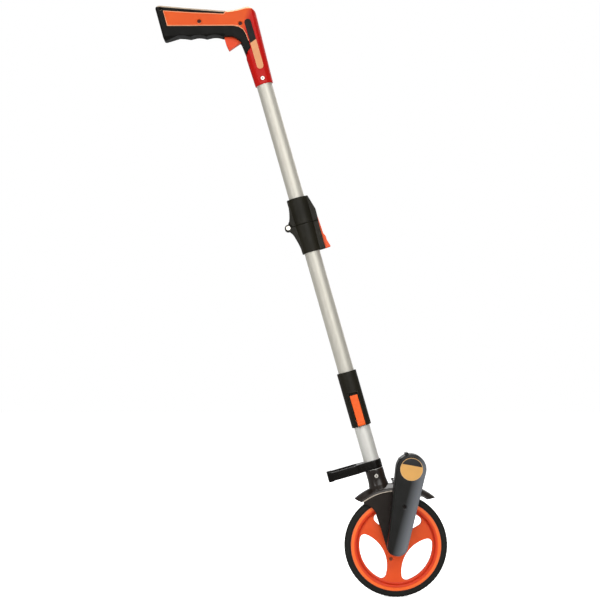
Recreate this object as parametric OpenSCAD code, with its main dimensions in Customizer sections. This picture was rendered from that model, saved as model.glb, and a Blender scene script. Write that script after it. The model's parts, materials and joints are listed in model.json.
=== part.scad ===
// Measuring wheel with a folding, take-apart pole, hand brake and five-digit counter.
// +Z is up, +X runs from the grip's butt towards the wheel's front, +Y points away
// from the counter. The origin is where the tyre meets the ground under the axle.

/* [Wheel] */
// Rolling radius of the tyre, half a metre round
wheel_r = 79.58; // [70:0.01:90]
// Width of the tyre
tyre_w = 16; // [12:0.5:18]
// Thickness of the tyre from tread to rim
tyre_depth = 9.7; // [7:0.1:12]
// Width of the raised rim
rim_w = 18; // [14:0.5:20]
// Radial height of the raised rim
rim_depth = 9.4; // [5:0.1:10]
// Thickness of the web with the windows
web_t = 7; // [5:0.5:9]
// Number of windows in the wheel
window_count = 3; // [3:1:4]
// Distance from the axle to the centre of a window's inner arc
window_offset = 73; // [70:1:78]
// Radius of a window's inner arc
window_inner_r = 52; // [46:1:54]
// Corner radius of a window
window_corner = 7; // [4:0.5:8]
// Radius of the hub
hub_r = 13.5; // [12:0.5:15]
// Radius of the axle
axle_r = 4; // [3:0.25:4.5]
// Distance of the hub screws from the axle
hub_screw_at = 22.5; // [21.5:0.5:23.5]

/* [Pole] */
// Lean of the pole from upright
tilt = 15.9; // [5:0.1:25]
// Outer radius of the three tubes
tube_r = 12.25; // [10.5:0.25:12.25]
// Wall of the tubes
tube_wall = 1.2; // [0.8:0.1:2]
// Bare length of the lower tube
lower_show = 55.3; // [40:0.1:90]
// Bare length of the middle tube
middle_show = 194; // [150:1:260]
// Bare length of the upper tube
upper_show = 185.5; // [150:0.5:260]
// Radius of the brake's push rods
rod_r = 3; // [2:0.25:3.5]

/* [Fork] */
// Length of the socket that holds the lower tube
socket_l = 28; // [22:1:36]
// Outer radius of the socket at its mouth
socket_r = 14.1; // [13.4:0.1:15]
// Height of the mudguard's crown above the tyre
crown_gap = 16.1; // [15.5:0.1:19]
// Height of the mudguard's side lips above the tyre
lip_gap = 6; // [5:0.1:7.5]
// Wall of the mudguard
fender_wall = 2.2; // [1.6:0.1:2.6]
// Half width across the mudguard's lips
fender_half = 17.5; // [17:0.1:19]
// Angle from the top to each end of the mudguard's crown
fender_angle = 42; // [40:1:44]
// Half width of a fork leg at the axle
leg_half = 15.2; // [13:0.2:16]
// Thickness of a fork leg
leg_t = 3.6; // [3:0.1:4]

/* [Brake] */
// Travel of the push rods and brake shoe
brake_stroke = 3; // [2:0.1:3]
// Squeeze of the trigger, in degrees
trigger_swing = 12; // [10:0.5:13]
// Half angle of the brake shoe about the axle
shoe_angle = 21; // [19:1:24]
// Distance of the brake's guide pin from the pole axis
guide_pin_at = 22.8; // [22:0.2:26]

/* [Storage clip] */
// Height of the clip
clip_h = 13.5; // [10:0.5:18]
// Reach of the clip's arms from the pole axis
clip_reach = 73; // [66:1:80]
// Inner width between the clip's arms
clip_inner = 30; // [29:0.5:34]
// Thickness of a clip arm
clip_arm = 2.6; // [2:0.1:3.5]

/* [Coupling] */
// Length of the coupling sleeve
sleeve_l = 87; // [82:1:110]
// Outer radius of the coupling sleeve
sleeve_r = 15.25; // [14.75:0.05:16]
// Depth to which the wheel unit plugs in
plug_l = 55; // [45:1:60]
// Width of the clamp lever
lever_w = 12; // [9:0.5:13]
// Length of the clamp lever above its pivot
lever_l = 45; // [36:1:48]

/* [Fold] */
// Height of the lower fold casting below its pin
fold_lower_l = 45.2; // [42:0.1:50]
// Height of the upper fold casting above the pin
fold_upper_l = 41.8; // [38:0.1:50]
// Distance of the fold pin from the pole axis
fold_pin_at = 25.7; // [24.4:0.1:28]
// Radius of the knuckles
knuckle_r = 5.5; // [5:0.1:6.2]
// Radius of the fold castings round the tube
fold_r = 16.5; // [15.5:0.1:17]
// Width of the orange fold latch
latch_w = 10; // [8:0.5:11]

/* [Grip] */
// Radius of the neck at its lower end
neck_r = 14.3; // [13.5:0.1:14.5]
// Half width of the grip
grip_half = 14.4; // [14:0.1:14.8]
// Half width of the orange shells
shell_half = 13.8; // [13.2:0.1:13.8]
// Depth of the finger scallops
scallop = 2.9; // [1:0.1:4]
// Radius of the lanyard hole in the butt
lanyard_r = 2.2; // [1.5:0.1:2.6]
// Width of the trigger
trigger_w = 10; // [7:0.5:12]

/* [Counter] */
// Radius of the counter case's head
head_r = 22.9; // [22.5:0.1:25]
// Radius of the counter case's foot
foot_r = 15.3; // [14.5:0.1:17]
// Depth of the counter case
case_depth = 29.4; // [29:0.2:36]
// Wall of the counter case
case_wall = 2; // [1.5:0.1:2.2]
// Sideways place of the counter shaft from the axle
head_x = 21; // [19:0.5:24]
// Height of the counter shaft above the axle
head_z = 120.4; // [120:0.5:130]
// Number of digits
digit_count = 5; // [5:1:5]
// Width of a number wheel
digit_w = 3.6; // [3:0.1:3.6]
// Radius of a number wheel
digit_r = 19; // [16:0.25:19.25]
// Radius of the label on the case
label_r = 17.2; // [12:0.2:18]

/* [Hidden] */

// Smoothness of round solids
$fn = 96;

// Clearance between a seated piece and its seat
seat_gap = 0.1;
// Clearance of a turning or sliding fit
run_gap = 0.06;
// Small overlap that makes a cut run past a face
past = 1;

// Places along the pole, as distances from the axle
fender_r = wheel_r + crown_gap;
fender_lip_r = wheel_r + lip_gap;
socket_base = fender_r - 2;
socket_top = socket_base + socket_l;
tube_floor = socket_base + 4;
clip_bottom = socket_top + 0.7;
clip_top = clip_bottom + clip_h;
sleeve_bottom = clip_top + lower_show;
sleeve_top = sleeve_bottom + sleeve_l;
lower_tube_top = sleeve_bottom + plug_l;
middle_tube_bottom = lower_tube_top + 2;
rod_joint = (lower_tube_top + middle_tube_bottom) / 2;
fold_bottom = sleeve_top + middle_show;
fold_plane = fold_bottom + fold_lower_l;
fold_top = fold_plane + fold_upper_l;
tube_stop = 12;
neck_bottom = fold_top + upper_show;
tube_in_neck = 42;

// Trigger pivot in the grip's own axes, and its place across and up the pole
pivot_x = -36.8;
pivot_z = 76.5;
pivot_t = cos(tilt) * pivot_x + sin(tilt) * pivot_z;
pivot_h = cos(tilt) * pivot_z - sin(tilt) * pivot_x;
arm_l = -pivot_t;
arm_tip_r = 3;
arm_rest = trigger_swing / 2;
arm_tip_h = pivot_h + arm_l * sin(arm_rest);
rod_top_h = arm_tip_h - arm_tip_r - 0.25;

// ---- placing and shared shapes ----

// The wheel's own place: origin on the axle
module wheel_frame() {
    translate([0, 0, wheel_r]) children();
}

// The pole's own place: +Z runs up the pole from the axle, +X across it
module pole_frame() {
    wheel_frame() rotate([0, -tilt, 0]) children();
}

// The grip's own place: level axes, origin on the pole axis at the neck's lower end
module grip_frame() {
    pole_frame() translate([0, 0, neck_bottom]) rotate([0, tilt, 0]) children();
}

// A flat outline in X and Z, given thickness from y0 to y1
module slab(y0, y1) {
    translate([0, y1, 0]) rotate([90, 0, 0]) linear_extrude(y1 - y0) children();
}

// A cylinder along Y from y0 to y1 at (x, z)
module cross_cylinder(x, z, y0, y1, r, r2 = -1) {
    translate([x, y1, z]) rotate([90, 0, 0])
        cylinder(r1 = r2 < 0 ? r : r2, r2 = r, h = y1 - y0);
}

// A cylinder along the pole from z0 to z1
module rod(z0, z1, r, x = 0) {
    translate([x, 0, z0]) cylinder(r = r, h = z1 - z0);
}

// A tube along the pole
module pipe(z0, z1, outer, inner) {
    difference() {
        rod(z0, z1, outer);
        rod(z0 - past, z1 + past, inner);
    }
}

// Points on an arc from angle a0 to a1 about a centre
function arc(centre, r, a0, a1, steps) = [
    for (i = [0:steps])
        let (a = a0 + (a1 - a0) * i / steps)
            centre + r * [cos(a), sin(a)]
];

// The bar that wraps two circles with straight sides, from y0 to y1
module wrapped_bar(c0, r0, c1, r1, y0, y1) {
    span = c1 - c0;
    lean = atan2(span[1], span[0]);
    spread = acos((r0 - r1) / norm(span));
    slab(y0, y1) polygon(concat(
        arc(c1, r1, lean - spread, lean + spread, 32),
        arc(c0, r0, lean + spread, lean + 360 - spread, 32)
    ));
}

// A coil spring along +Z, with closed ends left to the seats
module coil(length, mean_r, wire_r, turns) {
    sides = 8;
    rings = turns * 14;
    points = [
        for (i = [0:rings], k = [0:sides - 1])
            let (a = 360 * turns * i / rings, b = 360 * k / sides,
                 reach = mean_r + wire_r * cos(b))
                [reach * cos(a), reach * sin(a),
                 wire_r + (length - 2 * wire_r) * i / rings + wire_r * sin(b)]
    ];
    walls = [
        for (i = [0:rings - 1], k = [0:sides - 1])
            let (a = i * sides + k, b = i * sides + (k + 1) % sides)
                [a, a + sides, b + sides, b]
    ];
    ends = [
        [for (k = [0:sides - 1]) k],
        [for (k = [sides - 1:-1:0]) rings * sides + k]
    ];
    polyhedron(points, concat(walls, ends));
}

// A hollow rivet: a domed head, a shank and a blind hole, pointing along -Y from y = 0
module hollow_rivet(shank) {
    rotate([90, 0, 0]) difference() {
        union() {
            cylinder(r1 = 3.4, r2 = 2.8, h = 1);
            translate([0, 0, -shank]) cylinder(r = 1.9, h = shank);
        }
        translate([0, 0, -shank + 1]) cylinder(r = 1.1, h = shank + past);
    }
}

// ---- grip and neck ----

// Outline of the orange shells, neck included, in the grip's axes
function shell_outline() = [
    [-158.6, 114.7], [-111.8, 111.5], [-63.1, 109.6], [-59.6, 114.7], [-46.1, 116.4],
    [-28.5, 121.2], [-25, 121.6], [-20.6, 119.4], [-14.8, 115.4], [-13, 112], [-8, 100],
    [22, 0], [22, -16], [-24, -16], [-28.3, 45.9], [-21.4, 56.8],
    [-24, 66], [-27.6, 76.5], [-32.4, 84.4], [-39.5, 89], [-47.8, 90.7], [-151.6, 90.2]
];

// Underside of the grip, one finger scallop after another
scallop_pitch = 25.4;
scallop_start = -115.3;
scallop_count = 2;
function scallops() = [
    for (i = [0:scallop_count - 1], k = [0:5])
        [scallop_start + scallop_pitch * (i + k / 6),
         73.3 + 0.5 * (i + k / 6) + scallop * sin(30 * k)]
];

// Outline of the black overmould: top strip, butt, finger grip and tail down the neck
function overmould_outline() = concat(
    [[-59.6, 114.7], [-122.8, 119.2], [-161.8, 122.8], [-165.5, 122.6], [-169.6, 119.6],
     [-170.2, 117.4], [-157.8, 72.2], [-156.4, 68.9], [-153.4, 67.8],
     [-146, 70.6], [-139, 73.4], [-132.7, 73.3 + 0.8 * scallop], [-124, 75.1]],
    scallops(),
    [[-64.5, 73.9], [-49.4, 73.9], [-42.3, 70.4], [-36.6, 65.9], [-35.5, 63.9],
     [-28.3, 45.9], [-21.4, 56.8], [-24, 66], [-27.6, 76.5], [-32.4, 84.4],
     [-39.5, 89], [-47.8, 90.7], [-151.6, 90.2], [-158.6, 114.7],
     [-111.8, 111.5], [-63.1, 109.6]]
);

trigger_room = trigger_w / 2 + 0.4;

// Space inside the grip for the trigger, its arm and the top of the push rod
module trigger_pocket() {
    grip_frame() slab(-trigger_room, trigger_room) polygon([
        [-64.2, 55], [-64.2, 80], [-58, 88], [-36, 88.5], [-31, 86], [-19.5, 84.5],
        [-17, 70], [-31, 68.5], [-33.5, 50]
    ]);
}

// A wedge that bevels both side edges of the grip along its outline from a to b
module edge_bevel(a, b, half, size, inward) {
    span = b - a;
    translate([a[0], 0, a[1]]) rotate([0, -atan2(span[1], span[0]), 0])
        for (side = [-1, 1])
            translate([0, side * half, 0]) rotate([0, 90, 0]) linear_extrude(norm(span))
                polygon([[-inward * past, side * past],
                         [-inward * past, -side * (size + past)],
                         [inward * (size + past), side * past]]);
}

// Edges of the grip that are bevelled, and the size of each bevel
top_edge = [[-172, 123.6], [-59.6, 114.7], [-46.1, 116.4], [-28.5, 121.2], [-20, 121.2]];
low_edge = [[-160, 68.4], [-62, 73.2]];
butt_edge = [[-155, 61.8], [-171.6, 122.4]];
top_bevel = 3.4;
low_bevel = 5;
butt_bevel = 2.4;

// The bevels along the top of the grip and the elbow
module top_bevels(half) {
    grip_frame() for (i = [0:len(top_edge) - 2])
        edge_bevel(top_edge[i], top_edge[i + 1], half, top_bevel, 1);
}

// Where the two grip screws go, in the grip's axes
screw_places = [[-101.6, 97.7], [-37.3, 94.6]];
screw_head_r = 3.1;

module neck_body() {
    pole_frame() translate([0, 0, neck_bottom]) {
        cylinder(r1 = neck_r, r2 = neck_r + 4.8, h = 135);
        translate([-140, -grip_half, 54]) cube([144, 2 * grip_half, 130]);
    }
}

label_thick = 0.5;
label_half = 5.2;
label_low = 29;
label_high = 99.6;

// Outline of the neck label, with some room round it
module label_outline(room) {
    translate([1.6, label_low]) circle(r = label_half + room);
    translate([1.6, label_high]) circle(r = label_half + room);
    translate([1.6 - label_half - room, label_low])
        square([2 * (label_half + room), label_high - label_low]);
}

module grip_shell(y0, y1) {
    difference() {
        intersection() {
            grip_frame() slab(y0, y1) polygon(shell_outline());
            neck_body();
        }
        pole_frame() translate([0, 0, neck_bottom]) {
            rod(-past, tube_in_neck + seat_gap, tube_r + seat_gap);
            rod(0, rod_top_h + 4, rod_r + 0.5);
        }
        trigger_pocket();
        top_bevels(shell_half);
        grip_frame() {
            slab(-shell_half + 2.6, shell_half - 2.6) {
                polygon([[-150, 93.6], [-108, 93.6], [-108, 108.2], [-154, 111.2]]);
                polygon([[-95, 93.6], [-70, 93.6], [-70, 106.6], [-95, 107.6]]);
            }
            for (p = screw_places) {
                cross_cylinder(p[0], p[1], -grip_half - past, -8, screw_head_r + seat_gap);
                cross_cylinder(p[0], p[1], -grip_half, 8, 1.25 + seat_gap);
            }
        }
    }
}

module grip_shell_near() {
    color("orangered") difference() {
        grip_shell(-shell_half, 0);
        pole_frame() translate([0, 0, neck_bottom]) {
            slab(-grip_half - past, -shell_half + label_thick) label_outline(0.1);
            rotate([90, 0, 0]) translate([0, 8.6, 0]) cylinder(r = 2, h = 20);
            slab(-grip_half - past, -shell_half + 0.2) translate([0, 8.6]) circle(r = 3.6);
        }
    }
}

module grip_shell_far() {
    color("orangered") difference() {
        grip_shell(0, shell_half);
        pole_frame() translate([0, 0, neck_bottom + 8.6]) {
            rotate([-90, 0, 0]) cylinder(r = 2, h = 20);
            translate([0, shell_half - 0.2, 0]) rotate([-90, 0, 0]) cylinder(r = 3.6, h = 5);
        }
    }
}

module grip_overmould() {
    color("dimgray") difference() {
        grip_frame() slab(-grip_half, grip_half) polygon(overmould_outline());
        trigger_pocket();
        top_bevels(grip_half);
        grip_frame() {
            edge_bevel(low_edge[0], low_edge[1], grip_half, low_bevel, -1);
            edge_bevel(butt_edge[0], butt_edge[1], grip_half, butt_bevel, 1);
            cross_cylinder(-161.9, 117, -grip_half - past, grip_half + past, lanyard_r);
            cross_cylinder(pivot_x, pivot_z, -10.1, 10.1, 1.5 + seat_gap);
        }
        pole_frame() translate([0, 0, neck_bottom]) rod(40, 100, rod_r + 0.5);
    }
}

module grip_screws() {
    color("dimgray") grip_frame() for (p = screw_places) difference() {
        union() {
            cross_cylinder(p[0], p[1], -10, -8, screw_head_r - 0.1);
            cross_cylinder(p[0], p[1], -8, 7.5, 1.25);
        }
        cross_cylinder(p[0], p[1], -10 - past, -9, 1.1);
    }
}

module neck_label() {
    color("wheat") pole_frame() translate([0, 0, neck_bottom])
        slab(-shell_half, -shell_half + label_thick) label_outline(0);
}

// Rivets from both sides through a wall into a tube, at a height up the pole
module side_rivets(height, seat) {
    for (turn = [0, 180])
        translate([0, 0, height]) rotate([0, 0, turn])
            translate([0, -seat, 0]) hollow_rivet(seat - tube_r + tube_wall + 0.6);
}

module neck_rivets() {
    color("silver") pole_frame() side_rivets(neck_bottom + 8.6, shell_half - 0.2);
}

// Holes for a pair of rivets
module rivet_holes(height) {
    translate([0, 20, height]) rotate([90, 0, 0]) cylinder(r = 2, h = 40);
}

module upper_tube() {
    color("gainsboro") pole_frame() difference() {
        pipe(fold_plane + tube_stop, neck_bottom + tube_in_neck, tube_r, tube_r - tube_wall);
        rivet_holes(neck_bottom + 8.6);
    }
}

module trigger_pin() {
    color("silver") grip_frame() cross_cylinder(pivot_x, pivot_z, -10, 10, 1.5);
}

spring_x = -52;
trigger_spring_low = 76.2;
trigger_spring_high = 87.8;

module trigger_spring() {
    color("silver") grip_frame() translate([spring_x, 0, trigger_spring_low])
        coil(trigger_spring_high - trigger_spring_low, 2.4, 0.45, 5);
}

// A guide bush for a push rod inside a tube
module rod_guide(low, length) {
    pipe(low, low + length, tube_r - tube_wall - seat_gap, rod_r + 0.15);
}

guide_l = 10;

module upper_rod_guides() {
    color("dimgray") pole_frame() {
        rod_guide(fold_plane + tube_stop + 1, guide_l);
        rod_guide(neck_bottom + tube_in_neck - guide_l - 1, guide_l);
    }
}

// The trigger blade, its pivot boss and the arm that presses the push rod
module trigger() {
    color("orangered") difference() {
        union() {
            grip_frame() {
                slab(-trigger_w / 2, trigger_w / 2) polygon(concat(
                    [[-62.5, 72.5], [-62, 74.6], [-58, 76], [-47, 76], [-40, 79], [-33.5, 76],
                     [-35.8, 67.5], [-36.6, 65.9]],
                    [[-45, 60.2], [-52.5, 54.9], [-55, 53.3], [-57.2, 57.2], [-59.8, 63.1]]
                ));
                cross_cylinder(pivot_x, pivot_z, -trigger_w / 2, trigger_w / 2, 4.2);
            }
            pole_frame() translate([0, 0, neck_bottom])
                wrapped_bar([pivot_t, pivot_h], 1.8,
                            [pivot_t + arm_l * cos(arm_rest), arm_tip_h], arm_tip_r, -4, 4);
        }
        grip_frame() cross_cylinder(pivot_x, pivot_z, -10, 10, 1.5 + run_gap);
    }
}

module upper_push_rod() {
    color("silver") pole_frame()
        rod(fold_plane + 0.1, neck_bottom + rod_top_h, rod_r);
}

// ---- fold ----

cheek_in = 4.2;
cheek_out = 9;
fold_gap = 0.12;
latch_room = latch_w / 2 + 0.3;
ridge_half = latch_room + 2.6;

// Side outline of a casting's hinge web, from the parting plane at z = 0 upwards
module fold_web(height, top_x) {
    p = fold_pin_at;
    polygon(concat(
        [[0, 0.2], [0, height], [top_x, height], [top_x - 0.3, height - 10]],
        [[top_x - 1.6, height - 18], [-p + 5.9, 14.5], [-p + 4.2, 10], [-p + 1.6, 6.4]],
        arc([-p, 0], knuckle_r, 75, 180, 8),
        [[-p - knuckle_r, 0.2]]
    ));
}

// Hinge webs between the cheeks' outer faces, cut away where the other half swings
module knuckles(centre, height, top_x) {
    difference() {
        union() {
            slab(-cheek_out, cheek_out) fold_web(height, top_x);
            cross_cylinder(-fold_pin_at, 0, -cheek_out, cheek_out, knuckle_r);
        }
        translate([0, 0, -20 + fold_gap]) translate([-fold_pin_at + knuckle_r + 0.5, -20, 0])
            cube([60, 40, 20]);
        if (centre) {
            for (side = [-1, 1])
                translate([-fold_pin_at, side * (cheek_out + cheek_in) / 2, 0])
                    rotate([90, 0, 0]) cylinder(r = knuckle_r + 0.6,
                        h = cheek_out - cheek_in + 0.6, center = true);
        } else {
            cross_cylinder(-fold_pin_at, 0, -cheek_in - 0.3, cheek_in + 0.3,
                           knuckle_r + 0.6);
        }
    }
}

// The tooth that the latch's hook catches, in the upper casting
tooth_low = 1;
tooth_high = 3;
tooth_x = 19.8;
hook_x = 17.8;

module fold_casting_upper() {
    color("dimgray") pole_frame() translate([0, 0, fold_plane]) difference() {
        union() {
            translate([0, 0, fold_gap]) cylinder(r = fold_r, h = fold_upper_l - fold_gap);
            slab(-ridge_half, ridge_half) polygon([
                [0, fold_gap], [22.7, fold_gap], [23.2, 7.5], [23.5, 18],
                [fold_r + 0.4, fold_upper_l], [0, fold_upper_l]
            ]);
            knuckles(true, fold_upper_l, 0.6 - fold_r);
        }
        rod(tube_stop, fold_upper_l + past, tube_r + seat_gap);
        rod(-past, tube_stop + past, rod_r + 0.5);
        cross_cylinder(-fold_pin_at, 0, -20, 20, 2 + run_gap);
        difference() {
            slab(-latch_room, latch_room) polygon([
                [17.2, -1], [17.2, 9.5], [26, 9.5], [26, -1]
            ]);
            slab(-latch_room - past, latch_room + past)
                polygon([[16, tooth_low], [tooth_x, tooth_low], [tooth_x, tooth_high],
                         [16, tooth_high]]);
        }
    }
}

latch_pivot_x = 19;
latch_pivot_z = -17;

module fold_casting_lower() {
    color("dimgray") pole_frame() translate([0, 0, fold_plane]) difference() {
        union() {
            translate([0, 0, -fold_lower_l])
                cylinder(r1 = fold_r - 1.5, r2 = fold_r, h = fold_lower_l - fold_gap);
            slab(-ridge_half, ridge_half) polygon([
                [0, -fold_gap], [22.6, -fold_gap], [22, -10], [22, -fold_lower_l],
                [0, -fold_lower_l]
            ]);
            mirror([0, 0, 1]) knuckles(false, fold_lower_l, 1.6 - fold_r);
        }
        rod(-fold_lower_l - past, -tube_stop, tube_r + seat_gap);
        rod(-tube_stop - past, past, rod_r + 0.5);
        cross_cylinder(-fold_pin_at, 0, -20, 20, 2 + seat_gap);
        cross_cylinder(latch_pivot_x, latch_pivot_z, -8.1, 8.1, 1.2 + seat_gap);
        slab(-latch_room, latch_room) polygon([
            [16.6, past], [16.6, -8], [15.8, -14], [15.8, -28], [13.8, -36],
            [13.8, -fold_lower_l - past], [40, -fold_lower_l - past], [40, past]
        ]);
    }
}

module fold_pin() {
    color("silver") pole_frame() translate([0, 0, fold_plane]) {
        cross_cylinder(-fold_pin_at, 0, -cheek_out - 0.2, cheek_out + 0.2, 2);
        cross_cylinder(-fold_pin_at, 0, -cheek_out - 1.4, -cheek_out - 0.05, 3.3, 2.6);
        cross_cylinder(-fold_pin_at, 0, cheek_out + 0.05, cheek_out + 1.4, 2.6, 3.3);
    }
}

module latch_pin() {
    color("silver") pole_frame() translate([0, 0, fold_plane])
        cross_cylinder(latch_pivot_x, latch_pivot_z, -8, 8, 1.2);
}

module latch_spring() {
    color("silver") pole_frame() translate([13.9, 0, fold_plane - 38.5])
        rotate([0, 90, 0]) coil(7.6, 2, 0.4, 4);
}

module fold_latch() {
    color("orangered") pole_frame() translate([0, 0, fold_plane]) difference() {
        union() {
            slab(-latch_w / 2, latch_w / 2) polygon([
                [20.6, 7.3], [21.5, 7.8], [23.3, 7.2], [24.3, -10], [24.8, -22],
                [27.2, -27], [27.4, -33.5], [30.4, -44], [29.6, -45],
                [21.7, -45.4], [21.5, -38], [21.3, -30], [17.2, -23],
                [16.6, -17], [17.4, -12.5], [20.4, -9], [20.4, tooth_high + 0.25],
                [hook_x, tooth_high + 0.25], [hook_x, 5.4]
            ]);
        }
        cross_cylinder(latch_pivot_x, latch_pivot_z, -10, 10, 1.2 + run_gap);
    }
}

// ---- middle of the pole ----

module middle_tube() {
    color("gainsboro") pole_frame()
        pipe(middle_tube_bottom, fold_plane - tube_stop, tube_r, tube_r - tube_wall);
}

module middle_rod_guides() {
    color("dimgray") pole_frame() {
        rod_guide(middle_tube_bottom + 1, guide_l);
        rod_guide(fold_plane - tube_stop - guide_l - 1, guide_l);
    }
}

module middle_push_rod() {
    color("silver") pole_frame() rod(rod_joint + 0.05, fold_plane - 0.1, rod_r);
}

rib_in = lever_w / 2 + 0.5;
rib_out = rib_in + 1.6;
cam_r = 4;
cam_z = 4.8;
cam_y = -tube_r - 1.9 - cam_r;
lever_face = cam_y - 2.2;

module coupling_sleeve() {
    color("dimgray") pole_frame() translate([0, 0, sleeve_bottom]) difference() {
        union() {
            cylinder(r = sleeve_r, h = sleeve_l);
            translate([-rib_out, cam_y - 0.8, 0]) cube([2 * rib_out, -cam_y, lever_l + 9]);
        }
        translate([0, 0, -past]) cylinder(r = tube_r + seat_gap, h = sleeve_l + 2 * past);
        translate([-rib_in, -40, -past]) cube([2 * rib_in, 40 - sleeve_r + 1, lever_l + 9]);
        translate([-rib_in, -sleeve_r - 1, -past]) cube([2 * rib_in, sleeve_r, cam_z + 5.5]);
        translate([0, lever_face, lever_l + 8]) rotate([0, 90, 0])
            cylinder(r = 4, h = 2 * rib_in - 1, center = true);
        translate([-20, cam_y, cam_z]) rotate([0, 90, 0]) cylinder(r = 1.3, h = 40);
    }
}

module lever_pin() {
    color("silver") pole_frame() translate([-rib_out, cam_y, sleeve_bottom + cam_z])
        rotate([0, 90, 0]) cylinder(r = 1.2, h = 2 * rib_out);
}

module clamp_pad() {
    color("black") pole_frame() translate([0, 0, sleeve_bottom]) difference() {
        translate([-5, -tube_r - 1.8, cam_z - 4.6]) cube([10, 8, 9]);
        translate([0, 0, -past]) cylinder(r = tube_r + 0.15, h = 20);
    }
}

module coupling_lever() {
    half = lever_w / 2;
    color("orangered") pole_frame() translate([0, 0, sleeve_bottom]) difference() {
        union() {
            translate([-half, cam_y, cam_z]) rotate([0, 90, 0])
                cylinder(r = cam_r - 0.5, h = lever_w);
            translate([-half, cam_y + 0.4, cam_z]) rotate([0, 90, 0])
                cylinder(r = cam_r - 0.5, h = lever_w);
            translate([-half, lever_face, cam_z]) cube([lever_w, 2.6, lever_l]);
            translate([-half, lever_face, cam_z - 3.4]) cube([lever_w, 2.2, 5]);
        }
        translate([-20, cam_y, cam_z]) rotate([0, 90, 0]) cylinder(r = 1.2 + run_gap, h = 40);
    }
}

// ---- wheel unit: tube, clip, fork ----

module lower_tube() {
    color("gainsboro") pole_frame() difference() {
        pipe(tube_floor + seat_gap, lower_tube_top, tube_r, tube_r - tube_wall);
        rivet_holes(socket_base + 18);
    }
}

clip_outer = clip_inner / 2 + clip_arm;
clip_root = 25;
clip_collar_r = 14;

module storage_clip() {
    color("dimgray") pole_frame() translate([0, 0, clip_bottom]) difference() {
        union() {
            cylinder(r = clip_collar_r, h = clip_h);
            translate([-clip_root, -clip_collar_r, 0])
                cube([clip_root - 7, 2 * clip_collar_r, clip_h]);
            for (side = [-1, 1]) {
                linear_extrude(clip_h) polygon([
                    [-19, side * 11], [-19, side * clip_collar_r],
                    [-21.7, side * (clip_collar_r + 1)], [-26, side * clip_outer],
                    [-clip_reach + 8, side * clip_outer], [-clip_reach + 8, side * (clip_outer - clip_arm)],
                    [-28, side * clip_inner / 2], [-25, side * 11]
                ]);
                translate([0, 0, -0.6]) linear_extrude(clip_h + 1.2) polygon([
                    [-clip_reach + 8, side * clip_outer], [-clip_reach + 2, side * (clip_outer - 0.8)],
                    [-clip_reach, side * (clip_outer - 2.2)], [-clip_reach + 2.4, side * (clip_inner / 2 - 1.2)],
                    [-clip_reach + 8, side * clip_inner / 2]
                ]);
            }
        }
        translate([0, 0, -past]) cylinder(r = tube_r + seat_gap, h = clip_h + 2 * past);
    }
}

// Cross-section of the mudguard: radius against width
module fender_profile(inset) {
    crown = fender_r - inset;
    half = fender_half - inset;
    lip = fender_lip_r - (inset > 0 ? past : 0);
    polygon([
        [lip, -half], [crown - 6.6, -half + 1.4], [crown - 3.6, -half + 5.4],
        [crown - 0.9, -half + 9.5], [crown, -5], [crown, 5],
        [crown - 0.9, half - 9.5], [crown - 3.6, half - 5.4],
        [crown - 6.6, half - 1.4], [lip, half]
    ]);
}

// A shape swept round the axle
module swept() {
    rotate([90, 0, 0]) rotate_extrude() children();
}

// The wedge that keeps the part of a ring above the wheel
module top_wedge(front, rear, lip_r, crown_r, y0, y1) {
    a = crown_r * [sin(front[0]), cos(front[0])];
    b = lip_r * [sin(front[1]), cos(front[1])];
    d = (a - b) / norm(a - b);
    e = crown_r * [-sin(rear[0]), cos(rear[0])];
    f = lip_r * [-sin(rear[1]), cos(rear[1])];
    g = (e - f) / norm(e - f);
    slab(y0, y1) polygon([
        b - d * 30, b + d * 60, [160, 200], [-160, 200], f + g * 60, f - g * 30
    ]);
}

leg_out = fender_half - 1;
leg_in = leg_out - leg_t;
boss_half = fender_half + 0.1;
bush_r = axle_r + 2;

// One edge of a fork leg: how far it flares out, at heights up to the mudguard's lip
leg_flare = [[0.6, -45], [1.2, -28], [4, -20], [9, -13.5], [15, -9.5], [15, 2]];

// Side outline of a fork leg, along the pole
module leg_outline() {
    last = len(leg_flare) - 1;
    polygon(concat(
        arc([0, 0], leg_half, 0, -180, 16),
        [for (p = leg_flare) [-leg_half - p[0], fender_lip_r + p[1]]],
        [for (i = [last:-1:0]) [leg_half + leg_flare[i][0], fender_lip_r + leg_flare[i][1]]]
    ));
}

// Hole for the brake's guide pin through the mudguard, shoe and pad
module guide_pin_hole(room) {
    rod(fender_lip_r - 25, fender_r + 25, guide_pin_r + room, guide_pin_at);
}

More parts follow.
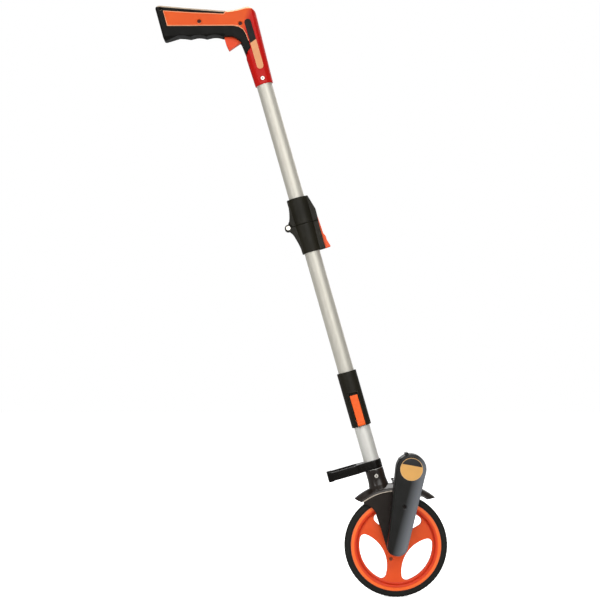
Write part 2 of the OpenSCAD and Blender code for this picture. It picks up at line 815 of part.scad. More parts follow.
module fork() {
    color("dimgray") wheel_frame() difference() {
        union() {
            difference() {
                intersection() {
                    swept() fender_profile(0);
                    top_wedge([fender_angle - 2, fender_angle - 8.5], [fender_angle, fender_angle - 3.5],
                              fender_lip_r, fender_r, -30, 30);
                }
                swept() fender_profile(fender_wall);
            }
            rotate([0, -tilt, 0]) {
                intersection() {
                    for (side = [-1, 1])
                        slab(side > 0 ? leg_in : -leg_out, side > 0 ? leg_out : -leg_in)
                            leg_outline();
                    swept() translate([0, -leg_out]) square([fender_lip_r + 1.2, 2 * leg_out]);
                }
                for (side = [-1, 1])
                    cross_cylinder(0, 0, side > 0 ? leg_out - past : -boss_half,
                                   side > 0 ? boss_half : -leg_out + past, bush_r + 2.5);
                difference() {
                    union() {
                        translate([0, 0, socket_base - 9])
                            cylinder(r = socket_r + 1.2, h = 13);
                        translate([0, 0, socket_base + 2])
                            cylinder(r1 = socket_r + 1.2, r2 = socket_r, h = 10);
                        translate([0, 0, socket_base])
                            cylinder(r = socket_r, h = socket_l);
                    }
                    swept() fender_profile(fender_wall);
                }
                intersection() {
                    rod(fender_r - 12, fender_r - 2.4, 3.6, guide_pin_at);
                    swept() translate([fender_r - fender_wall - 1, -30]) square([20, 60]);
                }
            }
        }
        rotate([0, -tilt, 0]) {
            rod(tube_floor, socket_top + past, tube_r + seat_gap);
            rod(fender_lip_r - 25, tube_floor + past, rod_r + 0.4);
            guide_pin_hole(0.2);
            rivet_holes(socket_base + 18);
            cross_cylinder(0, 0, -30, 30, bush_r + seat_gap);
        }
    }
}

module socket_rivets() {
    color("silver") pole_frame() side_rivets(socket_base + 18, socket_r + 0.1);
}

module axle_bearings() {
    color("goldenrod") wheel_frame() for (side = [-1, 1]) difference() {
        union() {
            cross_cylinder(0, 0, side > 0 ? leg_in : -boss_half,
                           side > 0 ? boss_half : -leg_in, bush_r);
            cross_cylinder(0, 0, side > 0 ? leg_in - 1.2 : -leg_in,
                           side > 0 ? leg_in : -leg_in + 1.2, bush_r + 2);
        }
        cross_cylinder(0, 0, -40, 40, axle_r + run_gap);
    }
}

// ---- brake ----

guide_pin_r = 1.2;
shoe_top = wheel_r + 11.4;
pad_bottom = wheel_r + 0.05;
pad_top = wheel_r + 6;
brake_half = 7.5;

// A ring sector under the mudguard, centred a brake stroke up the pole
module brake_sector(inner, outer, half_angle) {
    translate([0, 0, brake_stroke + 0.05]) intersection() {
        swept() translate([inner, -brake_half]) square([outer - inner, 2 * brake_half]);
        slab(-20, 20) polygon([
            [0, 0], 140 * [-sin(half_angle), cos(half_angle)],
            140 * [sin(half_angle), cos(half_angle)]
        ]);
    }
}

module lower_push_rod() {
    color("silver") pole_frame() rod(shoe_top - 2, rod_joint - 0.05, rod_r);
}

module brake_shoe() {
    color("gray") pole_frame() difference() {
        brake_sector(pad_top, shoe_top - brake_stroke, shoe_angle);
        rod(shoe_top - 2, shoe_top + 10, rod_r + 0.05);
        guide_pin_hole(0.05);
    }
}

module brake_pad() {
    color("black") pole_frame() difference() {
        brake_sector(pad_bottom, pad_top - seat_gap, shoe_angle - 1.5);
        guide_pin_hole(0.05);
    }
}

cap_bottom = fender_r + 2.6;
cap_h = 2.3;

module brake_guide_pin() {
    color("silver") pole_frame() rod(fender_r - 11, cap_bottom + cap_h - 0.6, guide_pin_r, guide_pin_at);
}

module spring_cap() {
    color("black") pole_frame() difference() {
        rod(cap_bottom, cap_bottom + cap_h, 2.5, guide_pin_at);
        rod(cap_bottom - past, cap_bottom + cap_h - 0.55, guide_pin_r + 0.05, guide_pin_at);
    }
}

module brake_spring() {
    color("silver") pole_frame() translate([guide_pin_at, 0, fender_r - 2.35])
        coil(cap_bottom - fender_r + 2.3, 1.75, 0.3, 3);
}

// ---- wheel ----

rim_outer = wheel_r - tyre_depth;
rim_inner = rim_outer - rim_depth;
window_outer = rim_inner - 4.2;

// A window: the lens between the rim's circle and an inner arc, with round corners
module window_outline() {
    ra = window_outer - window_corner;
    rb = window_inner_r - window_corner;
    z = (ra * ra - rb * rb + window_offset * window_offset) / (2 * window_offset);
    x = sqrt(ra * ra - z * z);
    top = atan2(z, x);
    low = atan2(z - window_offset, x);
    polygon(concat(
        arc([0, 0], window_outer, top, 180 - top, 12),
        arc([-x, z], window_corner, 180 - top, 180 - low, 5),
        arc([0, window_offset], window_inner_r, -180 - low, low, 14),
        arc([x, z], window_corner, low, top, 5)
    ));
}

module wheel_disc() {
    color("orangered") wheel_frame() difference() {
        swept() polygon([
            [axle_r + 0.02, -leg_in + 1.4], [hub_r, -leg_in + 1.4],
            [hub_r, -web_t / 2], [rim_inner - 1, -web_t / 2],
            [rim_inner, -rim_w / 2 + 1.2], [rim_inner + 1.2, -rim_w / 2],
            [rim_outer, -rim_w / 2],
            [rim_outer, -tyre_w / 2 + 1], [rim_outer - 3, -tyre_w / 2 + 4],
            [rim_outer - 3, tyre_w / 2 - 4], [rim_outer, tyre_w / 2 - 1],
            [rim_outer, rim_w / 2],
            [rim_inner + 1.2, rim_w / 2], [rim_inner, rim_w / 2 - 1.2],
            [rim_inner - 1, web_t / 2], [hub_r, web_t / 2],
            [hub_r, leg_in - 1.4], [axle_r + 0.02, leg_in - 1.4]
        ]);
        for (i = [0:window_count - 1])
            slab(-20, 20) rotate(-4 + 360 * i / window_count) window_outline();
        for (turn = hub_screw_turns) rotate([0, turn, 0]) translate(hub_screw_place()) {
            rotate([90, 0, 0]) cylinder(r = 1.6, h = 40, center = true);
            translate([0, -web_t / 2 + 1, 0]) rotate([90, 0, 0]) cylinder(r = 3.2, h = 9);
        }
    }
}

// Place of the first hub screw, and how far each screw is turned from there
hub_screw_angle = 250;
hub_screw_turns = [0, 120];
function hub_screw_place() =
    hub_screw_at * [cos(hub_screw_angle), 0, sin(hub_screw_angle)];

// The tyre, with a bead that fills the rim's groove
module tyre() {
    color("black") wheel_frame() swept() polygon([
        [rim_outer + 0.05, -tyre_w / 2], [wheel_r - 3.4, -tyre_w / 2],
        [wheel_r - 1.2, -tyre_w / 2 + 1.6], [wheel_r, -tyre_w / 2 + 4.2],
        [wheel_r, tyre_w / 2 - 4.2], [wheel_r - 1.2, tyre_w / 2 - 1.6],
        [wheel_r - 3.4, tyre_w / 2], [rim_outer + 0.05, tyre_w / 2],
        [rim_outer + 0.05, tyre_w / 2 - 1.05], [rim_outer - 2.95, tyre_w / 2 - 4.05],
        [rim_outer - 2.95, -tyre_w / 2 + 4.05], [rim_outer + 0.05, -tyre_w / 2 + 1.05]
    ]);
}

case_back_y = -fender_half - 0.1;
pulley_y0 = case_back_y - case_wall - 4.6;
pulley_y1 = case_back_y - case_wall - 0.6;
nut_y0 = boss_half + 0.2;

module axle() {
    color("silver") wheel_frame()
        cross_cylinder(0, 0, pulley_y0 - 0.6, nut_y0 + 5, axle_r);
}

module axle_nut() {
    color("silver") wheel_frame() difference() {
        translate([0, nut_y0 + 4.4, 0]) rotate([90, 0, 0]) cylinder(r = 6.6, h = 4.4, $fn = 6);
        cross_cylinder(0, 0, 0, 40, axle_r + 0.02);
    }
}

pulley_ratio = 2;
small_pulley_r = 6;
belt_t = 1.4;
belt_half = 0.9;

// A flanged pulley along Y, grooved for the belt
module pulley(x, z, r, bore) {
    mid = (pulley_y0 + pulley_y1) / 2;
    difference() {
        union() {
            cross_cylinder(x, z, pulley_y0, pulley_y1, r);
            for (side = [-1, 1])
                cross_cylinder(x, z, mid + side * 1.5 - 0.45, mid + side * 1.5 + 0.45,
                               r + belt_t);
        }
        cross_cylinder(x, z, -60, 0, bore + 0.02);
    }
}

module drive_pulley() {
    color("white") wheel_frame() pulley(0, 0, small_pulley_r, axle_r);
}

module drive_belt() {
    mid = (pulley_y0 + pulley_y1) / 2;
    low = small_pulley_r + 0.1;
    high = pulley_ratio * small_pulley_r + 0.1;
    color("black") wheel_frame() difference() {
        wrapped_bar([0, 0], low + belt_t, [head_x, head_z], high + belt_t,
                    mid - belt_half, mid + belt_half);
        wrapped_bar([0, 0], low, [head_x, head_z], high, mid - 5, mid + 5);
    }
}

flange_t = 2.4;

module hub_flange() {
    color("silver") wheel_frame() difference() {
        union() {
            cross_cylinder(0, 0, web_t / 2, web_t / 2 + flange_t, hub_r + 6);
            for (turn = hub_screw_turns) rotate([0, turn, 0])
                cross_cylinder(hub_screw_place()[0], hub_screw_place()[2], web_t / 2,
                               web_t / 2 + flange_t, 4.2);
        }
        cross_cylinder(0, 0, 0, 20, hub_r + 0.05);
        for (turn = hub_screw_turns) rotate([0, turn, 0]) translate(hub_screw_place())
            rotate([90, 0, 0]) cylinder(r = 1.5, h = 40, center = true);
    }
}

module hub_screws() {
    color("saddlebrown") wheel_frame() for (turn = hub_screw_turns)
        rotate([0, turn, 0]) translate(hub_screw_place()) rotate([90, 0, 0]) difference() {
            union() {
                translate([0, 0, web_t / 2 - 0.95]) cylinder(r1 = 3, r2 = 2.2, h = 1.6);
                translate([0, 0, -web_t / 2 - flange_t - 0.4])
                    cylinder(r = 1.4, h = web_t + flange_t);
            }
            translate([0, 0, web_t / 2 + 0.1]) cylinder(r = 1, h = 5);
        }
}

// ---- counter ----

case_front_y = case_back_y - case_depth;
window_low = 137;
window_high = 112;
digit_gap = 0.3;
digits_y1 = pulley_y0 - 1;
digits_y0 = digits_y1 - digit_count * digit_w - (digit_count - 1) * digit_gap;
window_y0 = digits_y0 - 0.2;
window_y1 = digits_y1 + 0.2;

// The counter case's outline at an inset, from y0 to y1
module case_bar(inset, y0, y1) {
    wrapped_bar([0, 4], foot_r - inset, [head_x, head_z], head_r - inset, y0, y1);
}

// A wedge round the counter shaft between two angles and radii
module head_wedge(a0, a1, r0, r1, y0, y1) {
    translate([head_x, 0, head_z]) difference() {
        slab(y0, y1) polygon(concat(arc([0, 0], r0, a0, a1, 6), arc([0, 0], r1, a1, a0, 6)));
        cross_cylinder(0, 0, y0 - past, y1 + past, r0 + 0.4);
    }
}

case_screw = [10.5, 63.7];

module case_back() {
    color("dimgray") wheel_frame() difference() {
        union() {
            case_bar(0, case_back_y - case_wall, case_back_y);
            difference() {
                case_bar(case_wall + seat_gap, case_back_y - 3.4, case_back_y);
                case_bar(case_wall + 1.4, case_back_y - 10, case_back_y - case_wall);
            }
            cross_cylinder(case_screw[0], case_screw[1], case_front_y + 8, case_back_y, 3.6);
        }
        cross_cylinder(0, 0, -60, 0, bush_r + 1);
        cross_cylinder(head_x, head_z, -60, 0, 3 + seat_gap);
        cross_cylinder(case_screw[0], case_screw[1], -60, case_back_y - 8, 1.3 + seat_gap);
    }
}

module case_front() {
    color("dimgray") wheel_frame() difference() {
        union() {
            case_bar(0, case_front_y + 1.8, case_back_y - case_wall - seat_gap);
            case_bar(1.3, case_front_y, case_front_y + 3);
            head_wedge(window_high - 11, window_high + 1, head_r - 1, head_r + 3,
                       window_y0 - 1, window_y1 + 1);
            head_wedge(window_low - 1, window_low + 5, head_r - 1, head_r + 1.4,
                       window_y0 - 1, window_y1 + 1);
        }
        difference() {
            case_bar(case_wall, case_front_y + case_wall + 0.3, case_back_y + past);
            cross_cylinder(head_x, head_z, case_front_y, case_front_y + case_wall + 1, 4.6);
            cross_cylinder(case_screw[0], case_screw[1], case_front_y, case_front_y + 7.8, 5);
        }
        head_wedge(window_high, window_low, digit_r, head_r + 5, window_y0, window_y1);
        cross_cylinder(head_x, head_z, case_front_y + 2, 0, 1.5 + run_gap);
        cross_cylinder(case_screw[0], case_screw[1], case_front_y - past, case_front_y + 5,
                       2.9);
        cross_cylinder(case_screw[0], case_screw[1], case_front_y - past, 0, 1.3 + seat_gap);
        cross_cylinder(head_x, head_z, case_front_y - past, case_front_y + 0.35,
                       label_r + seat_gap);
    }
}

module case_screws() {
    color("black") wheel_frame() {
        difference() {
            union() {
                cross_cylinder(case_screw[0], case_screw[1], case_front_y + 3.4,
                               case_front_y + 5, 2.7);
                cross_cylinder(case_screw[0], case_screw[1], case_front_y + 4,
                               case_back_y - 8.4, 1.3);
            }
            cross_cylinder(case_screw[0], case_screw[1], case_front_y, case_front_y + 4.2, 1.1);
        }
    }
}

module counter_label() {
    color("goldenrod") wheel_frame()
        cross_cylinder(head_x, head_z, case_front_y - 0.15, case_front_y + 0.35, label_r);
}

module counter_window() {
    color("lightcyan", 0.5) wheel_frame()
        head_wedge(window_high + 0.3, window_low - 0.3, head_r - 1.9, head_r - 0.3,
                   window_y0 + 0.1, window_y1 - 0.1);
}

shaft_r = 1.5;

module counter_shaft() {
    color("silver") wheel_frame()
        cross_cylinder(head_x, head_z, case_front_y + 2.2, case_back_y - 0.4, shaft_r);
}

module counter_pulley() {
    color("white") wheel_frame()
        pulley(head_x, head_z, pulley_ratio * small_pulley_r, shaft_r);
}

// Number wheel i, counted from the front
module number_wheel(i) {
    y0 = digits_y0 + i * (digit_w + digit_gap);
    color("white") wheel_frame() difference() {
        cross_cylinder(head_x, head_z, y0, y0 + digit_w, digit_r);
        cross_cylinder(head_x, head_z, y0 - past, y0 + digit_w + past, shaft_r + run_gap);
        cross_cylinder(head_x, head_z, y0 - past, y0 + 0.8, digit_r - 2.5);
        cross_cylinder(head_x, head_z, y0 + digit_w - 0.8, y0 + digit_w + past,
                       digit_r - 2.5);
    }
}

module number_wheel_1() { number_wheel(0); }
module number_wheel_2() { number_wheel(1); }
module number_wheel_3() { number_wheel(2); }
module number_wheel_4() { number_wheel(3); }
module number_wheel_5() { number_wheel(4); }

knob_r = 9;

module reset_knob() {
    color("orangered") wheel_frame() difference() {
        union() {
            cross_cylinder(head_x, head_z, case_back_y + 0.3, case_back_y + 8, knob_r);
            cross_cylinder(head_x, head_z, case_back_y - case_wall, case_back_y + 1, 3);
        }
        for (i = [0:11]) translate([head_x, case_back_y + 9, head_z]) rotate([90, 30 * i, 0])
            translate([knob_r + 1, 0, 0]) cylinder(r = 1.8, h = 7);
        cross_cylinder(head_x, head_z, case_back_y - 10, case_back_y, shaft_r + run_gap);
    }
}

grip_shell_near();
grip_shell_far();
grip_overmould();
grip_screws();
neck_label();
neck_rivets();
upper_tube();
trigger_pin();
trigger_spring();
upper_rod_guides();
fold_casting_upper();
trigger();
upper_push_rod();
fold_casting_lower();
fold_pin();
latch_pin();
latch_spring();
middle_tube();
middle_rod_guides();
coupling_sleeve();
lever_pin();
clamp_pad();
fold_latch();
coupling_lever();
middle_push_rod();
lower_tube();
storage_clip();
fork();
socket_rivets();
axle_bearings();
case_back();
case_front();
case_screws();
counter_label();
counter_window();
drive_belt();
brake_spring();
lower_push_rod();
brake_shoe();
brake_pad();
brake_guide_pin();
spring_cap();
wheel_disc();
tyre();
axle();
axle_nut();
drive_pulley();
hub_flange();
hub_screws();
counter_shaft();
counter_pulley();
number_wheel_1();
number_wheel_2();
number_wheel_3();
number_wheel_4();
number_wheel_5();
reset_knob();
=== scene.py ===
import json
import math

import bmesh
import bpy
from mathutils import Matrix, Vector


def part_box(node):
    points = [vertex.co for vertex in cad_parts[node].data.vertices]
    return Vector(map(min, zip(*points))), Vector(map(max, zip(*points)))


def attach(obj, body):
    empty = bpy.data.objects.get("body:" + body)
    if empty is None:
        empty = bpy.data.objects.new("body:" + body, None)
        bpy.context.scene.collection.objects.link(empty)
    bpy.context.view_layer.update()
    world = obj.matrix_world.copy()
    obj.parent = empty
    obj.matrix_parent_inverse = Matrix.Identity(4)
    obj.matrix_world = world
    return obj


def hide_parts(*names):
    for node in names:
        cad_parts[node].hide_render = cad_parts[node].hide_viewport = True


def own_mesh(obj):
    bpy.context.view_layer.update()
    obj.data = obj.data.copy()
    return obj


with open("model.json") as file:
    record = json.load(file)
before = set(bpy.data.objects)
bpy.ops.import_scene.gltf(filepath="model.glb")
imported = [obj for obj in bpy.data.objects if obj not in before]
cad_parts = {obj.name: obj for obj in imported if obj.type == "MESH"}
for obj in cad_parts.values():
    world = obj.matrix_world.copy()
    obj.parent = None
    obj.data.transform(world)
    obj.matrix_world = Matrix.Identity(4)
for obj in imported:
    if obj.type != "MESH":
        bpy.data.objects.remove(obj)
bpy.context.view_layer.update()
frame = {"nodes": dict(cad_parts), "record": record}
NODES = frame["nodes"]
BODY_OF = {node: body for body, nodes in frame["record"]["behaviour"]["bodies"].items()
           for node in nodes}
MM = 0.001

# ---- places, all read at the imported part's own size ----

# The pole leans by TILT: UP runs along it from the axle, and ACROSS is square to it
TYRE_R = 79.58
TILT = math.radians(15.9)
AXLE = Vector((0, 0, TYRE_R)) * MM
UP = Vector((-math.sin(TILT), 0, math.cos(TILT)))
ACROSS = Vector((math.cos(TILT), 0, math.sin(TILT)))
# How far up the pole the neck of the grip, the fold and the mudguard's top are
NECK, FOLD_PLANE, FENDER_TOP = 744.68, 517.38, 93.33


def on_pole(along, across):
    """The point so many millimetres up the pole from the axle, and across it."""
    return AXLE + (UP * along + ACROSS * across) * MM


def from_axle(x, z, y=0):
    """The point so many millimetres from the axle."""
    return AXLE + Vector((x, y, z)) * MM


def from_neck(x, z, y=0):
    """The point so many millimetres from the neck of the grip."""
    return on_pole(NECK, 0) + Vector((x, y, z)) * MM


# The counter's case: a round head, a smaller round foot, and the plane of its face
HEAD = from_axle(21, 120.4)
FOOT = from_axle(0, 4)
CASE_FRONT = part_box("case_front")[0][1]

# ---- tools for materials ----

MATERIALS = {}


def srgb(red, green, blue):
    """A colour given as 0-255 screen values, as linear numbers."""
    linear = []
    for value in (red, green, blue):
        share = value / 255
        linear.append(share / 12.92 if share <= 0.04045 else ((share + 0.055) / 1.055) ** 2.4)
    return (*linear, 1.0)


def darker(colour, share):
    """A linear colour at a share of its brightness."""
    return (*(value * share for value in colour[:3]), 1.0)


class Shader:
    """A node material under construction, kept in MATERIALS under its name."""

    SOCKETS = {"metal": "Metallic", "spec": "Specular IOR Level", "coat": "Coat Weight",
               "coat_rough": "Coat Roughness", "glass": "Transmission Weight", "ior": "IOR"}

    def __init__(self, name):
        made = bpy.data.materials.new(name)
        made.use_nodes = True
        self.tree = made.node_tree
        self.bsdf = self.tree.nodes["Principled BSDF"]
        place = self.node("ShaderNodeTexCoord")
        self.coords = place.outputs["Object"]
        self.facing = place.outputs["Normal"]
        MATERIALS[name] = made

    def node(self, kind, **settings):
        made = self.tree.nodes.new(kind)
        for key, value in settings.items():
            setattr(made, key, value)
        return made

    def link(self, source, target):
        self.tree.links.new(source, target)

    def noise(self, scale, detail=3.0, rough=0.55, stretch=None, turn=0.0):
        vector = self.coords
        if stretch:
            mapping = self.node("ShaderNodeMapping")
            mapping.inputs["Rotation"].default_value = (0, turn, 0)
            mapping.inputs["Scale"].default_value = stretch
            self.link(vector, mapping.inputs["Vector"])
            vector = mapping.outputs["Vector"]
        made = self.node("ShaderNodeTexNoise")
        made.inputs["Scale"].default_value = scale
        made.inputs["Detail"].default_value = detail
        made.inputs["Roughness"].default_value = rough
        self.link(vector, made.inputs["Vector"])
        return made.outputs["Fac"]

    def mottle(self, source, deep, colour):
        """A colour that wanders between two as a noise does."""
        made = self.node("ShaderNodeValToRGB")
        for element, place, stop in zip(made.color_ramp.elements, (0.3, 0.7), (deep, colour)):
            element.position = place
            element.color = stop
        self.link(source, made.inputs["Fac"])
        return made.outputs["Color"]

    def mix(self, factor, one, two):
        made = self.node("ShaderNodeMix", data_type="RGBA")
        if isinstance(factor, float):
            made.inputs["Factor"].default_value = factor
        else:
            self.link(factor, made.inputs["Factor"])
        for key, value in (("A", one), ("B", two)):
            socket = [s for s in made.inputs if s.name == key and s.type == "RGBA"][0]
            if isinstance(value, tuple):
                socket.default_value = value
            else:
                self.link(value, socket)
        return [s for s in made.outputs if s.type == "RGBA"][0]

    def span(self, source, low, high, to_low, to_high):
        """A value's range from low to high, carried over to another range."""
        made = self.node("ShaderNodeMapRange")
        for key, value in (("From Min", low), ("From Max", high),
                           ("To Min", to_low), ("To Max", to_high)):
            made.inputs[key].default_value = value
        self.link(source, made.inputs["Value"])
        return made.outputs["Result"]

    def offset(self, origin):
        """A point's place from an origin, in metres."""
        shift = self.node("ShaderNodeVectorMath", operation="SUBTRACT")
        shift.inputs[1].default_value = origin
        self.link(self.coords, shift.inputs[0])
        return shift.outputs["Vector"]

    def along(self, direction, origin):
        """How far a point lies along a direction from an origin, in metres."""
        dot = self.node("ShaderNodeVectorMath", operation="DOT_PRODUCT")
        dot.inputs[1].default_value = direction
        self.link(self.offset(origin), dot.inputs[0])
        return dot.outputs["Value"]

    def radius(self, centre):
        """How far a point lies from an axis along Y through a centre, in metres."""
        flat = self.node("ShaderNodeVectorMath", operation="MULTIPLY")
        flat.inputs[1].default_value = (1, 0, 1)
        self.link(self.offset(centre), flat.inputs[0])
        length = self.node("ShaderNodeVectorMath", operation="LENGTH")
        self.link(flat.outputs["Vector"], length.inputs[0])
        return length.outputs["Value"]

    def band(self, centre, low, high, edge):
        """One between two radii round a centre, nothing outside them, with soft edges."""
        reach = self.radius(centre)
        both = self.node("ShaderNodeMath", operation="MULTIPLY")
        self.link(self.span(reach, low - edge, low, 0.0, 1.0), both.inputs[0])
        self.link(self.span(reach, high, high + edge, 1.0, 0.0), both.inputs[1])
        return both.outputs["Value"]

    def part(self, vector, axis):
        """A vector's part along X, Y or Z."""
        split = self.node("ShaderNodeSeparateXYZ")
        self.link(vector, split.inputs["Vector"])
        return split.outputs[axis]

    def size(self, value):
        """A value without its sign."""
        made = self.node("ShaderNodeMath", operation="ABSOLUTE")
        self.link(value, made.inputs[0])
        return made.outputs["Value"]

    def steepness(self):
        """One where a face looks along Y, nothing where it lies along Y."""
        return self.size(self.part(self.facing, "Y"))

    def upness(self):
        """One where a face looks up, nothing or less where it doesn't."""
        return self.part(self.facing, "Z")

    def depth(self):
        """How far a point lies from the object's middle plane, in metres."""
        return self.size(self.part(self.coords, "Y"))

    def bump(self, source, strength, distance):
        made = self.node("ShaderNodeBump")
        made.inputs["Strength"].default_value = strength
        made.inputs["Distance"].default_value = distance
        self.link(source, made.inputs["Height"])
        self.link(made.outputs["Normal"], self.bsdf.inputs["Normal"])

    def put(self, **values):
        for key, value in values.items():
            self.bsdf.inputs[self.SOCKETS[key]].default_value = value

    def rough(self, source, low, high, smooth, dull):
        """Lets the roughness follow a noise, from smooth at low to dull at high."""
        self.link(self.span(source, low, high, smooth, dull), self.bsdf.inputs["Roughness"])

    def paint(self, colour):
        self.link(colour, self.bsdf.inputs["Base Color"])


# ---- kinds of material ----

def moulded(name, colour, deep, rough, rough_spread=0.08, grain=2600.0, pit=0.00003,
            strength=0.25, coat=0.0, coat_rough=0.1, spec=0.5, painted_light_fade=None, rings=(),
            painted_wall_shade=None, painted_top_highlight=None):
    """Moulded plastic or rubber: slight mottling, a fine spark-eroded grain and uneven gloss.

    The fade changes the colour along a direction, as painted shade at the grip's neck and as a
    painted reflection on the counter's face. The rings change it round the axle, as painted shade
    and painted highlights on the wheel.
    The walls colour is painted shade on faces that lie along Y, and the tops colour a painted
    highlight on faces that look up."""
    shader = Shader(name)
    surface = shader.mottle(shader.noise(28.0, 4.0), deep, colour)
    if painted_light_fade:
        direction, origin, reach, far_colour = painted_light_fade
        amount = shader.span(shader.along(direction, tuple(origin)), 0.0, reach, 0.0, 1.0)
        surface = shader.mix(amount, surface, far_colour)
    for low, high, edge, ring_colour in rings:
        surface = shader.mix(shader.band(tuple(AXLE), low, high, edge), surface, ring_colour)
    if painted_wall_shade:
        amount = shader.span(shader.steepness(), 0.25, 0.6, 1.0, 0.0)
        surface = shader.mix(amount, surface, painted_wall_shade)
    if painted_top_highlight:
        amount = shader.span(shader.upness(), 0.35, 0.6, 0.0, 1.0)
        surface = shader.mix(amount, surface, painted_top_highlight)
    shader.paint(surface)
    shader.rough(shader.noise(90.0, 5.0), 0.25, 0.75, rough - rough_spread, rough + rough_spread)
    shader.put(coat=coat, coat_rough=coat_rough, spec=spec)
    shader.bump(shader.noise(grain, 2.0), strength, pit)


def metal(name, colour, deep, rough, stretch=(1, 1, 1), turn=0.0, grain=900.0,
          strength=0.15, metallic=1.0):
    """Metal with drawn or brushed lines along its stretch."""
    shader = Shader(name)
    lines = shader.noise(grain, 4.0, 0.6, stretch, turn)
    shader.paint(shader.mottle(shader.mix(0.5, lines, shader.noise(35.0)), deep, colour))
    shader.rough(lines, 0.2, 0.8, rough - 0.07, rough + 0.08)
    shader.put(metal=metallic)
    shader.bump(lines, strength, 0.00002)


def printed(name, low_colour, high_colour, direction, origin, rim=None, spec=0.5, coat=0.3):
    """A printed label: one colour below a straight line, another above it, and a rim."""
    shader = Shader(name)
    cloud = shader.noise(60.0)
    low = shader.mottle(cloud, darker(low_colour, 0.93), low_colour)
    high = shader.mottle(cloud, darker(high_colour, 0.8), high_colour)
    above = shader.span(shader.along(tuple(direction), tuple(origin)), -0.0003, 0.0003, 0.0, 1.0)
    surface = shader.mix(above, low, high)
    if rim:
        centre, reach, line = rim
        outside = shader.span(shader.radius(tuple(centre)), reach, reach + 0.0002, 0.0, 1.0)
        surface = shader.mix(outside, surface, line)
    shader.paint(surface)
    shader.rough(shader.noise(200.0), 0.3, 0.7, 0.3, 0.42)
    shader.put(spec=spec, coat=coat, coat_rough=0.15)
    shader.bump(shader.noise(1800.0), 0.05, 0.00002)


def hollow_rivet(name, face):
    """A bright hollow rivet whose bore below its face is painted dark, as shade."""
    shader = Shader(name)
    bright = shader.mottle(shader.noise(700.0), srgb(226, 220, 208), srgb(242, 238, 230))
    at_face = shader.span(shader.depth(), face - 0.0005, face - 0.0003, 0.0, 1.0)
    shader.paint(shader.mix(at_face, srgb(44, 38, 34), bright))
    shader.rough(shader.noise(300.0), 0.3, 0.7, 0.24, 0.34)
    shader.put(metal=0.5)
    shader.bump(shader.noise(1200.0), 0.1, 0.00002)


def clear(name):
    """Clear moulded plastic."""
    shader = Shader(name)
    shader.bsdf.inputs["Base Color"].default_value = (0.9, 0.94, 0.94, 1.0)
    shader.rough(shader.noise(150.0), 0.3, 0.7, 0.02, 0.06)
    shader.put(glass=1.0, ior=1.45)


# ---- the materials ----

# Orange mouldings
# The grip's shell: its pale tops are a painted highlight, and its fade to deep red at the neck is
# painted shade
moulded("grip_orange", srgb(218, 86, 26), srgb(210, 77, 20), 0.42, spec=0.2,
        painted_top_highlight=srgb(244, 168, 124),
        painted_light_fade=((0.95, 0, -0.3), on_pole(NECK + 8.6, 0) + Vector((-32, 0, 87)) * MM,
              0.010, srgb(180, 8, 0)))
# Pale orange for the beads round the grip's panel: a painted highlight
moulded("panel_highlight_edge", srgb(240, 160, 116), srgb(234, 146, 102), 0.35)
moulded("trigger_orange", srgb(224, 68, 12), srgb(214, 56, 8), 0.42, spec=0.3)
# The wheel: round the axle, the darker ring in the groove inside the rim is painted shade, the
# lighter rings on the raised rim and its rounded outer edge are painted highlights, and the darker
# walls of the windows are painted shade
moulded("wheel_orange", srgb(234, 84, 20), srgb(224, 73, 14), 0.42, spec=0.35,
        rings=[(0.0582, 0.0632, 0.0016, srgb(214, 54, 12)),
               (0.0658, 0.0690, 0.0014, srgb(252, 108, 40)),
               (0.0695, 0.0712, 0.0005, srgb(214, 122, 90))],
        painted_wall_shade=srgb(196, 46, 10))
moulded("lever_orange", srgb(238, 98, 22), srgb(230, 86, 16), 0.4, spec=0.35)
moulded("latch_orange", srgb(234, 90, 30), srgb(222, 74, 22), 0.42, spec=0.3)

# Black and grey mouldings
# The grip's overmould: its pale grey-beige tops are a painted highlight
moulded("grip_black", srgb(20, 19, 16), srgb(13, 12, 10), 0.5, grain=1500.0, pit=0.00006,
        strength=0.3, spec=0.14, painted_top_highlight=srgb(150, 132, 110))
moulded("gloss_black", srgb(18, 16, 13), srgb(12, 11, 9), 0.2, rough_spread=0.04,
        strength=0.06, coat=0.3, coat_rough=0.06, spec=0.35)
moulded("satin_black", srgb(33, 30, 19), srgb(25, 23, 14), 0.5, grain=1800.0, strength=0.2,
        spec=0.25)
moulded("mudguard_black", srgb(42, 35, 30), srgb(32, 26, 22), 0.34, grain=1600.0,
        strength=0.15, coat=0.4, coat_rough=0.14, spec=0.3)
# Pale grey for the bead along the mudguard's lip: a painted highlight
moulded("mudguard_highlight_edge", srgb(196, 184, 168), srgb(160, 148, 134), 0.3, strength=0.1)
moulded("case_grey", srgb(38, 38, 38), srgb(31, 31, 31), 0.42, grain=2000.0, strength=0.3,
        spec=0.35)
# The counter case's face: its fade to pale blue-grey towards the lower right is a painted
# reflection
moulded("case_face", srgb(27, 27, 25), srgb(22, 22, 20), 0.38, grain=2000.0, strength=0.3,
        spec=0.35,
        painted_light_fade=((0.965, 0, -0.26), from_axle(9.5, 62.2), 0.023, srgb(122, 126, 132)))
moulded("inner_black", srgb(36, 36, 36), srgb(26, 26, 26), 0.55)

# White and printed pieces
moulded("white_nylon", srgb(228, 226, 218), srgb(214, 211, 202), 0.5)
moulded("digit_wheel", srgb(24, 24, 25), srgb(18, 18, 18), 0.45)
moulded("digit_tenths", srgb(196, 34, 22), srgb(180, 26, 16), 0.45)
moulded("digit_ink", srgb(244, 244, 240), srgb(236, 236, 232), 0.5, strength=0.05)
clear("clear_lens")

